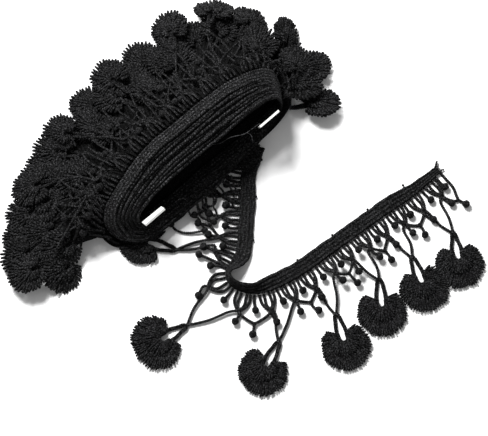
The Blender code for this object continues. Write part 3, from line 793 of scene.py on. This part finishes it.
def twist_group():
    """Plies and fibres of a twisted yarn, from its length in centimetres and turns round it."""
    inputs = (("Along", 0.0), ("Round", 0.0), ("Twists", 5.0), ("Plies", 2.0), ("Fibre", 0.4))
    outputs = (("Height", "NodeSocketFloat"), ("Groove", "NodeSocketFloat"))
    tree, into, out = group_of("yarn_twist", inputs, outputs)
    plus, minus, times, power = arithmetic(tree)
    given = into.outputs
    phase = plus(times(given["Along"], given["Twists"]), times(given["Round"], given["Plies"]))
    tent = maths(tree, "ABSOLUTE", minus(maths(tree, "FRACT", phase), 0.5))
    groove = power(times(tent, 2.0), 1.6)
    place = tree.nodes.new("ShaderNodeCombineXYZ")
    feed(tree, place, {"X": times(phase, 9.0), "Y": times(given["Along"], 2.0)})
    hair = times(noise_of(tree, place.outputs[0], 1.0, 3.0), given["Fibre"])
    feed(tree, out, {"Height": plus(minus(1.0, groove), hair), "Groove": groove})
    return tree


def dye_glint_and_shade_group():
    """The dye's colour, uneven from place to place, with painted glints of lit fibres and painted shade in
    the grooves.
    """
    inputs = (("Dye", (0.01, 0.01, 0.01, 1.0)), ("Uneven", 0.5), ("Groove", 0.0), ("Glint", 1.0))
    inputs += (("Rough", 0.8),)
    outputs = (("Color", "NodeSocketColor"), ("Roughness", "NodeSocketFloat"))
    tree, into, out = group_of("uneven_dye_glints_and_groove_shade", inputs, outputs)
    plus, minus, times, _ = arithmetic(tree)
    given = into.outputs
    where = tree.nodes.new("ShaderNodeTexCoord").outputs["Object"]
    patches = noise_of(tree, where, 110.0, 3.0)
    glint_noise = noise_of(tree, where, 1150.0, 2.0)
    shift = times(minus(patches, 0.5), given["Uneven"])
    level = plus(times(shift, 2.0), 1.0)
    # Painted glints: specks that stand for lit fibres are made brighter than the dye, with random darker
    # specks between.
    spread = times(minus(glint_noise, 0.47), given["Glint"])
    glint_speck = maths(tree, "MAXIMUM", plus(times(spread, 11.0), 0.62), 0.08)
    # Painted shade: the dye is darkened in the grooves.
    groove_shade = minus(1.0, times(given["Groove"], 0.85))
    tint = tree.nodes.new("ShaderNodeVectorMath")
    tint.operation = "SCALE"
    feed(tree, tint, {0: given["Dye"], "Scale": times(times(level, glint_speck), groove_shade)})
    feed(tree, out, {"Color": tint.outputs[0], "Roughness": plus(given["Rough"], times(shift, 0.25))})
    return tree


GROUPS = {"yarn_twist": twist_group, "uneven_dye_glints_and_groove_shade": dye_glint_and_shade_group}


def blank_finish(name):
    """A new material, its tree and its shader."""
    made = bpy.data.materials.new(name)
    made.use_nodes = True
    return made, made.node_tree, made.node_tree.nodes["Principled BSDF"]


def dyed_finish(name, dye, rough, glint, sheen):
    """A yarn material whose colour comes from the shared dye with its painted glints; the mask of its painted
    groove shade is left to be fed.
    """
    made, tree, shader = blank_finish(name)
    dyed = {"Dye": (*dye, 1.0), "Uneven": 0.5, "Rough": rough, "Glint": glint}
    coloured = shared(tree, "uneven_dye_glints_and_groove_shade", dyed)
    look = {"Base Color": coloured["Color"], "Roughness": coloured["Roughness"], "Specular IOR Level": 0.08}
    look |= {"Sheen Weight": sheen, "Sheen Roughness": 0.45, "Sheen Tint": (0.5, 0.5, 0.52, 1.0)}
    feed(tree, shader, look)
    split = tree.nodes.new("ShaderNodeSeparateXYZ")
    feed(tree, split, {0: tree.nodes.new("ShaderNodeUVMap").outputs["UV"]})
    return made, tree, shader, coloured["Color"].node.inputs["Groove"], split.outputs


def twisted(tree, along, round_it, twists, plies, fibre):
    """The shared twist fed by two sockets: its height and groove."""
    inputs = {"Along": along, "Round": round_it, "Twists": twists, "Plies": plies, "Fibre": fibre}
    return shared(tree, "yarn_twist", inputs).values()


def yarn_finish(name, dye, twists, plies, fibre=0.5, sheen=0.02, rough=0.8, glint=1.0, depth=0.0002):
    """A dyed yarn with its twist and fibres, for pieces whose UV map follows the yarn."""
    made, tree, shader, groove, split = dyed_finish(name, dye, rough, glint, sheen)
    height, hollow = twisted(tree, split["X"], split["Y"], twists, plies, fibre)
    # The twist's grooves darken the dye as painted shade.
    tree.links.new(hollow, groove)
    raise_bump(tree, shader, height, 0.7, depth)
    return made


def raise_bump(tree, shader, height, strength, depth):
    """Lets a height stand up from the surface, to a depth in metres."""
    bump = tree.nodes.new("ShaderNodeBump")
    feed(tree, bump, {"Strength": strength, "Distance": depth, "Height": height})
    feed(tree, shader, {"Normal": bump.outputs["Normal"]})


def heading_finish(name, dye, depth, glint):
    """The ribbed heading: stitches that lean one way and the other from rib to rib, with painted shade in the
    stitches' grooves and between the ribs.
    """
    made, tree, shader, groove, split = dyed_finish(name, dye, 0.82, glint, 0.02)
    size = sizes()
    _, minus, times, power = arithmetic(tree)
    rib = size.heading_wide / RIBS / 10
    round_it = maths(tree, "PINGPONG", split["Y"], rib)
    height, stitch = twisted(tree, split["X"], round_it, 10 / size.stitch, 3.4, 0.5)
    middle = maths(tree, "DIVIDE", maths(tree, "PINGPONG", split["Y"], rib / 2), rib / 2)
    between = times(power(minus(1.0, middle), 1.6), depth)
    # Painted shade: the stitches' grooves and the valleys between ribs darken the dye; the valleys are also
    # in the bump.
    tree.links.new(maths(tree, "MAXIMUM", stitch, between), groove)
    raise_bump(tree, shader, minus(height, between), 0.8, 0.0003)
    return made


def card_finish(name, colour):
    """White card with a faint grain."""
    made, tree, shader = blank_finish(name)
    grain = noise_of(tree, tree.nodes.new("ShaderNodeTexCoord").outputs["Object"], 900.0, 5.0)
    ramp = tree.nodes.new("ShaderNodeValToRGB")
    ramp.color_ramp.elements[0].color = (*[c * 0.86 for c in colour], 1.0)
    ramp.color_ramp.elements[1].color = (*colour, 1.0)
    feed(tree, ramp, {"Fac": grain})
    rough = maths(tree, "ADD", maths(tree, "MULTIPLY", grain, 0.15), 0.5)
    feed(tree, shader, {"Base Color": ramp.outputs["Color"], "Roughness": rough})
    raise_bump(tree, shader, grain, 0.25, 0.0001)
    return made


# ---- what a user may change ----


def length(label, text, value):
    return bpy.props.FloatProperty(name=label, description=text, default=value, unit="LENGTH", precision=4)


def colour(label, text, value):
    return bpy.props.FloatVectorProperty(
        name=label, description=text, default=value, subtype="COLOR", size=3, min=0.0, max=1.0
    )


class TrimSizes(bpy.types.PropertyGroup):
    """The sizes of the trim."""

    heading_wide: length("Heading width", "Width of the ribbed heading", 0.0093)
    heading_thick: length("Heading thickness", "Thickness of the ribbed heading", 0.0017)
    stitch: length("Stitch", "Length of one stitch of the heading", 0.00135)
    pitch: length("Repeat", "Length of heading between two tassels", 0.027)
    string_thick: length("String", "Thickness of the net's strings", 0.0021)
    node_down: length("Nodes down", "From the heading to the net's nodes", 0.0096)
    side_ball_down: length("Side balls down", "From the heading to the balls under the nodes", 0.018)
    fan_radius: length("Fan", "Radius of a fan tassel", 0.0145)


class TrimColours(bpy.types.PropertyGroup):
    """The colours of the trim and its stage."""

    cord: colour("Cord", "Dye of the heading and the strings", (0.0106, 0.0106, 0.011))
    yarn: colour("Yarn", "Dye of the fan tassels", (0.0102, 0.0102, 0.0106))
    card: colour("Card", "Colour of the winding card", (0.8, 0.8, 0.78))
    floor: colour("Floor", "Colour of the floor", (0.92, 0.92, 0.92))


def sizes():
    """The trim's sizes in millimetres."""
    group = bpy.context.scene.trim_sizes
    return SimpleNamespace(**{name: getattr(group, name) / MM for name in group.__annotations__})


def finish(name):
    """A finish by name, made at its first use."""
    made = bpy.data.materials.get(name)
    if made:
        return made
    dyes = bpy.context.scene.trim_colours
    # For the headings: how far the valleys between ribs sink, in the bump and as painted shade, and how
    # strong the painted glints are.
    headings = {"wound_rib": (1.1, 2.7), "laid_rib": (0.8, 1.6)}
    # shaded_cord and shaded_yarn are the cord and the yarn darkened, without sheen, as painted shade.
    yarns = {
        "twisted_cord": (dyes.cord, 1.0, 8.0, 2.0, {"glint": 2.3}),
        "shaded_cord": (dyes.cord, 0.4, 8.0, 2.0, {"sheen": 0.0}),
        "cut_yarn": (dyes.yarn, 1.0, 6.5, 2.0, {"fibre": 0.7, "rough": 0.88, "glint": 1.9, "depth": 0.0003}),
        "wound_ball": (dyes.cord, 1.0, 0.0, 7.0, {"fibre": 0.4, "depth": 0.00025}),
        "pale_thread": (dyes.yarn, 9.0, 20.0, 2.0, {"glint": 0.4, "depth": 0.00005}),
        "shaded_yarn": (dyes.yarn, 0.35, 6.0, 2.0, {"sheen": 0.0, "rough": 0.95}),
    }
    if name in headings:
        return heading_finish(name, dyes.cord, *headings[name])
    if name in yarns:
        dye, share, twists, plies, more = yarns[name]
        return yarn_finish(name, tuple(c * share for c in dye), twists, plies, **more)
    return card_finish(name, dyes.card)


# ---- operators ----


class TRIM_OT_card(bpy.types.Operator):
    """Put in the winding card, whose two ears stand out of the hank's turns"""

    bl_idname = "trim.card"
    bl_label = "Winding Card"

    def execute(self, context):
        bm = bmesh.new()
        ear, leg = CARD_HALF - CARD_EAR, CARD_HALF - CARD_LEG
        across = (-CARD_HALF, -leg, -ear, ear, leg, CARD_HALF)
        levels = (CARD_TOP, CARD_FOLD, CARD_FOOT, CARD_TOE)
        corners = {}
        for k, p in enumerate(across):
            for row, up in enumerate(levels):
                corners[k, row] = bm.verts.new((p * MM, up * MM, 0))
        used = ((0, 0), (1, 0), (0, 1), (0, 2), (1, 2), (2, 2), (3, 2), (4, 2), (4, 1), (3, 0), (4, 0))
        for k, row in used:
            spots = ((k, row), (k, row + 1), (k + 1, row + 1), (k + 1, row))
            bm.faces.new([corners[spot] for spot in spots])
        bmesh.ops.delete(bm, geom=[v for v in bm.verts if not v.link_faces], context="VERTS")
        raised = bmesh.ops.extrude_face_region(bm, geom=bm.faces[:])["geom"]
        raised = [item for item in raised if isinstance(item, bmesh.types.BMVert)]
        bmesh.ops.translate(bm, verts=raised, vec=(0, 0, CARD_THICK * MM))
        for corner in bm.verts:
            p, up, through_it = (c / MM for c in corner.co)
            tilt = math.radians(CARD_TILT + CARD_TWIST * p)
            drop = min(0.0, up - CARD_FOLD)
            up = max(up, CARD_FOLD)
            out = -up * math.cos(tilt) - through_it * math.sin(tilt)
            rise = up * math.sin(tilt) - through_it * math.cos(tilt)
            q = CARD_Q + CARD_SKEW * p + out - LEGS_Q * drop
            z = CARD_HIGH + LEAN * p + rise + drop
            corner.co = Vector(from_hank((p + CARD_P - LEGS_P * drop, q, z))) * MM
        bmesh.ops.recalc_face_normals(bm, faces=bm.faces)
        made = piece("card", [mesh_of(bm, "card")], "white_card", ("winding_card",))
        made.data.shade_flat()
        return {"FINISHED"}


class TRIM_OT_wound_heading(bpy.types.Operator):
    """Wind nine turns of ribbed heading round the card"""

    bl_idname = "trim.wound_heading"
    bl_label = "Wound Heading"

    def execute(self, context):
        mesh = swept("wound_heading", 2900, 30, partial(wound_heading_place, sizes()))
        piece("wound_heading", [mesh], "wound_rib", ("winding_heading",))
        return {"FINISHED"}


class TRIM_OT_wound_net(bpy.types.Operator):
    """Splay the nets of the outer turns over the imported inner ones"""

    bl_idname = "trim.wound_net"
    bl_label = "Wound Net"

    def execute(self, context):
        size = sizes()
        size.string_thick *= WOUND_STRINGS
        hank = Hank()
        packed = swept("under", 420, 34, partial(under_place, hank))
        # The packed inner nets are the yarn darkened as painted shade.
        piece("wound_under_net", [packed], "shaded_yarn", ("winding_fringe",))
        lo, hi = np.interp(SPLAYED, hank.angle, hank.s)
        middles, nets = [], []
        for level, (plies, ball_share) in enumerate(((2, 0.35), (2, 0.15), (1, 0.0))):
            net = Net(hank.at(level), size, 60 + level, 4, 0.62, plies, ball_share)
            middles.append(np.arange(lo + size.pitch * (0.2 + 0.37 * level), hi, size.pitch * EASE))
            for middle in middles[level]:
                net.repeat(middle)
            nets.append(net)
        over = Net(hank.at(-0.6), size, 70, 4, 0.62)
        for s in np.arange(lo + 4, hi, 5.5):
            s += over.jitter(2.5)
            ends = over.jitter(4)
            start = 6 + over.jitter(4)
            spots = []
            for k in range(5):
                spots.append((s + ends * k / 4, start + k * (6.5 + over.jitter(0.8)), over.jitter(0.9)))
            over.string(spots, 1.25)
        for s in np.arange(*np.interp(SLANTED, hank.angle, hank.s), 2.9):
            down = (-1.0, 3.5, 8.0, 12.5, 17.0)
            over.string([(s - 0.6 * t + over.jitter(0.35), t, 0.8 - 0.04 * t) for t in down], 1.75)
        for p, q, way, under, tip, _, row in tassel_rows():
            turned = math.radians(way)
            outward = np.array((math.cos(turned), math.sin(turned)))
            top = np.array((p, q)) - (FAN_BACK + (LOOP_LONG + 0.3) * FAN_SCALE) * outward  # in its loop
            s = hank.nearest(top)[0]
            level = min(row, 2)
            middle = middles[level][np.argmin(np.abs(middles[level] - s))]
            if abs(middle - s) > 20:
                middle = s
            high = tassel_height(hank, p, q, under) + 3.5
            loop = from_hank((*top, high + loop_rise(tip)))
            over.at = hank.at(level - 0.5)
            over.hang(middle, loop, lift=1.0)
        for spots in SCRAPS:
            over.string([np.array(spot) for spot in spots], 1.7)
            over.ball(np.array(spots[-1]), 2.1)
        for n in range(7):
            p = -25 + 5.6 * n
            lean = over.jitter(2.5)
            spots = [(p + lean * k + over.jitter(1.6), -8.0 - 3.6 * k, 8.0 * 0.55**k + 1.6) for k in range(5)]
            over.string([from_hank(spot) for spot in spots], 1.5)
        nets.append(over)
        skeins = [net.skein.mesh("strings") for net in nets]
        balls = [net.balls.mesh("balls") for net in nets]
        piece("wound_net", skeins[:1] + skeins[3:], "twisted_cord")
        # The two lower levels of net are the cord darkened as painted shade.
        piece("wound_net_deep", skeins[1:3], "shaded_cord")
        piece("wound_balls", balls, "wound_ball")
        return {"FINISHED"}


def tassel_height(hank, p, q, under):
    """How high the underside of a tassel of the hank lies."""
    if under is not None:
        return under
    s, distance, foot_high = hank.nearest((p, q))
    return max(1.0, float(hank.fall(s, foot_high, distance)) - 7.5)


def loop_rise(tip):
    """How much the top of a tipped tassel's loop rises."""
    return 17.0 * math.sin(math.radians(tip))


class TRIM_OT_wound_tassels(bpy.types.Operator):
    """Pile the fan tassels round the hank"""

    bl_idname = "trim.wound_tassels"
    bl_label = "Wound Tassels"

    def execute(self, context):
        size = sizes()
        hank = Hank()
        rng = np.random.default_rng(21)
        skeins = (Skein(4), Skein(4))
        for n, (p, q, way, under, tip, roll, row) in enumerate(tassel_rows()):
            turned = math.radians(way)
            back = FAN_BACK * FAN_SCALE
            hub = (p - back * math.cos(turned), q - back * math.sin(turned), tassel_height(hank, p, q, under))
            yaw = turned + math.pi + HANK_TURN + math.radians(rng.uniform(-14, 14))
            scale = FAN_SCALE * rng.uniform(0.92, 1.06)
            lay = laid_at(from_hank(hub), yaw, math.radians(roll), -math.radians(tip), scale)
            tassel(skeins[min(row, 1)], lay, size, 200 + n, **PILED_FAN, slot=rng.uniform(0.35, 1.0))
        names = [f"winding_tassel_{k:02d}" for k in range(1, 17)]
        piece("wound_tassels_rim", [skeins[0].mesh("rim")], "cut_yarn", names)
        piece("wound_tassels_top", [skeins[1].mesh("top")], "cut_yarn")
        return {"FINISHED"}


def free_heading_place(tail, size, u, v):
    """Places of the free heading, which narrows to its cut end and tilts through its turn."""
    s = u * tail.length
    spot, out, tilt = tail.edge(s)
    over = np.stack([-out[:, 0] * np.cos(tilt), -out[:, 1] * np.cos(tilt), np.sin(tilt)], 1)
    run = np.stack([-out[:, 1], out[:, 0], np.zeros(len(s))], 1)
    up = np.cross(over, run)
    up *= np.sign(up[:, 2:3])
    across, high = band_section(size, v, 0.7, 0.3)
    wide = size.heading_wide * (0.56 + 0.44 * ease(s / 36))
    rims = np.where((across < 0.02) | (across > 0.98), 1, 0)
    stitch = 0.16 * np.abs(np.sin(np.pi * s / size.stitch)) * rims
    lie = size.heading_thick / 2 + 0.25 * (1 + wander(s, 2, 60)) + 0.3
    edge = 0.25 * wander(s, 4, 17) * ease((across - 0.5) * 3) + 0.12 * wander(s, 5, 6) + stitch
    ragged = 0.5 * wander(across * 9, 6, 5) * (1 - ease(s / 2))
    spot = spot + run * -ragged[:, None] + over * (across * wide + edge)[:, None]
    spot += up * high[:, None]
    spot[:, 2] = np.maximum(spot[:, 2] + lie, 0.12)
    return spot, np.stack([s, across * size.heading_wide], 1)


class TRIM_OT_free_heading(bpy.types.Operator):
    """Lay out the ribbed heading of the free end"""

    bl_idname = "trim.free_heading"
    bl_label = "Free Heading"

    def execute(self, context):
        mesh = swept("free_heading", 1150, 30, partial(free_heading_place, Tail(), sizes()))
        piece("free_heading", [mesh], "laid_rib", ("tail_heading",))
        return {"FINISHED"}


class TRIM_OT_free_net(bpy.types.Operator):
    """Work the net below the free end, its balls, picots and cut ends"""

    bl_idname = "trim.free_net"
    bl_label = "Free Net"

    def execute(self, context):
        size = sizes()
        size.string_thick *= FREE_STRINGS
        tail = Tail()
        net = Net(tail.at, size, 30)
        for n in range(9):
            middle = FIRST_TASSEL + n * size.pitch * EASE
            net.repeat(middle, last=n == AT_THE_TURN or middle > tail.length - 20)
            if n == AT_THE_TURN:
                spot = middle + size.pitch / 2 + 1.4
                ball = tail.at(spot, 17.5, BALL_HIGH)
                net.string(((spot - 0.4, STRING_TOP, 1.1), (spot, 8.5, 1.2), ball))
                net.ball(ball)
            if tail.edge(middle + 6.5)[2][0] < 0.1:
                net.balls.wind(tail.at(middle + 6.5, -0.3 - size.heading_wide, 1.2), 0.75)
            if n < len(TAIL_TASSELS):
                net.hang(middle, np.array((*TAIL_TASSELS[n][:2], 1.4)) + SHIFT)
        last = (4.2, 19.5, 1.2)
        net.string(((0.3, -0.5, 1.0), (0.6, 4.9, 1.1), (0.9, 11.3, 1.0), (2.8, 15.8, 1.0), last))
        net.string(((9.7, 10.4, 1.2), (8.7, 14.6, 1.1), (6.6, 18.2, 1.0), last))
        net.string((last, (3.5, 21.8, 1.3), (2.8, 24.6, 2.1)))
        net.ball(tail.at(2.8, 24.6, 2.2))
        net.short_ball(4.4)
        net.string(((2.4, -4.0, 1.3), (0.3, -4.7, 1.6), (-1.5, -5.8, 1.9), (-3.0, -6.9, 1.5)), 1.5)
        net.string(((2.0, -1.0, 1.2), (-0.8, -1.1, 1.4), (-2.7, -0.3, 1.2)), 1.1)
        for k in range(9):
            root = 0.3 + k * 0.52
            tip = (-1.3 - net.jitter(0.8), -root + net.jitter(0.9), 1.2 + net.jitter(0.7))
            knots = [tail.at(1.0, -root, 1.1), tail.at(-0.4, -root + net.jitter(0.4), 1.3), tail.at(*tip)]
            net.skein.lay(through(knots, 4), 0.45)
        piece("free_net", [net.skein.mesh("strings")], "twisted_cord", ("tail_fringe",))
        piece("free_balls", [net.balls.mesh("balls")], "wound_ball")
        return {"FINISHED"}


class TRIM_OT_free_tassels(bpy.types.Operator):
    """Lay the seven fan tassels of the free end"""

    bl_idname = "trim.free_tassels"
    bl_label = "Free Tassels"

    def execute(self, context):
        size = sizes()
        skein = Skein(4)
        for n, (top_x, top_y, hub_x, hub_y) in enumerate(TAIL_TASSELS):
            hub = np.array((hub_x, hub_y, 0.0)) + SHIFT
            yaw = math.atan2(top_y - hub_y, top_x - hub_x)
            tassel(skein, laid_at(hub, yaw, broad=BROAD_FANS.get(n, 1.02)), size, 500 + n, **FINE_FAN)
        names = [f"tail_tassel_{k}" for k in range(1, 8)]
        piece("free_tassels", [skein.mesh("fans")], "cut_yarn", names)
        Tail().length * MM
        return {"FINISHED"}


class TRIM_OT_loose_threads(bpy.types.Operator):
    """Lay the loose ends of thread over the hank"""

    bl_idname = "trim.loose_threads"
    bl_label = "Loose Threads"

    def execute(self, context):
        path = through(LONG_THREAD)
        skein = Skein(4)
        skein.lay(path, 0.36)
        thread = piece("loose_thread", [skein.mesh("thread")], "pale_thread")
        float(lengths(path)[-1] * MM)
        skein = Skein(4)
        for knots in SHORT_THREADS:
            skein.lay(through(knots), 0.32)
        piece("thread_ends", [skein.mesh("ends")], "pale_thread")
        return {"FINISHED"}


class TRIM_OT_stage(bpy.types.Operator):
    """Set the pale floor, the soft light and the camera"""

    bl_idname = "trim.stage"
    bl_label = "Stage"

    def execute(self, context):
        scene = context.scene
        bm = bmesh.new()
        bmesh.ops.create_grid(bm, x_segments=1, y_segments=1, size=3.0)
        floor = put_in("floor", mesh_of(bm, "floor"))
        paper, _, shader = blank_finish("pale_floor")
        colour = (*scene.trim_colours.floor, 1.0)
        feed(None, shader, {"Base Color": colour, "Roughness": 0.9, "Specular IOR Level": 0.1})
        floor.data.materials.append(paper)

        world = bpy.data.worlds.new("studio")
        world.use_nodes = True
        sky = world.node_tree.nodes["Background"]
        feed(None, sky, {"Color": (1.0, 1.0, 1.0, 1.0), "Strength": SKY})
        scene.world = world

        lamp = bpy.data.lights.new("key", "AREA")
        lamp.energy = KEY_WATTS
        lamp.shape = "DISK"
        lamp.size = KEY_WIDE
        key = put_in("key", lamp)
        rise = math.radians(KEY_RISE)
        level = Vector(KEY_FROM).normalized() * math.cos(rise)
        key.location = (level + Vector((0, 0, math.sin(rise)))) * KEY_FAR
        key.rotation_euler = (-key.location).to_track_quat("-Z", "Y").to_euler()

        camera = bpy.data.cameras.new("camera")
        camera.lens = LENS
        camera.sensor_width = 36.0
        camera.clip_end = 20.0
        eye = put_in("camera", camera)
        rise = math.radians(CAMERA_RISE)
        eye.location = Vector(SHIFT) * MM + Vector((0, -math.cos(rise), math.sin(rise))) * CAMERA_FAR
        eye.rotation_euler = (math.radians(90) - rise, 0, 0)
        scene.camera = eye
        scene.view_settings.view_transform = "Standard"
        return {"FINISHED"}


class TRIM_PT_panel(bpy.types.Panel):
    """The trim's sizes, colours and pieces"""

    bl_idname = "TRIM_PT_panel"
    bl_label = "Tassel Fringe Trim"
    bl_space_type = "VIEW_3D"
    bl_region_type = "UI"
    bl_category = "Trim"

    def draw(self, context):
        scene, layout = context.scene, self.layout
        for group in (scene.trim_sizes, scene.trim_colours):
            for name in group.__annotations__:
                layout.prop(group, name)
        for operator in OPERATORS:
            layout.operator(operator.bl_idname)


OPERATORS = (
    TRIM_OT_stage,
    TRIM_OT_card,
    TRIM_OT_wound_heading,
    TRIM_OT_wound_net,
    TRIM_OT_wound_tassels,
    TRIM_OT_free_heading,
    TRIM_OT_free_net,
    TRIM_OT_free_tassels,
    TRIM_OT_loose_threads,
)
CLASSES = (TrimSizes, TrimColours, *OPERATORS, TRIM_PT_panel)


def register():
    for each in CLASSES:
        bpy.utils.register_class(each)
    bpy.types.Scene.trim_sizes = bpy.props.PointerProperty(type=TrimSizes)
    bpy.types.Scene.trim_colours = bpy.props.PointerProperty(type=TrimColours)


def unregister():
    del bpy.types.Scene.trim_sizes, bpy.types.Scene.trim_colours
    for each in reversed(CLASSES):
        bpy.utils.unregister_class(each)


def main():
    register()
    for operator in OPERATORS:
        space, name = operator.bl_idname.split(".")
        getattr(getattr(bpy.ops, space), name)()


if __name__ == "__main__":
    main()
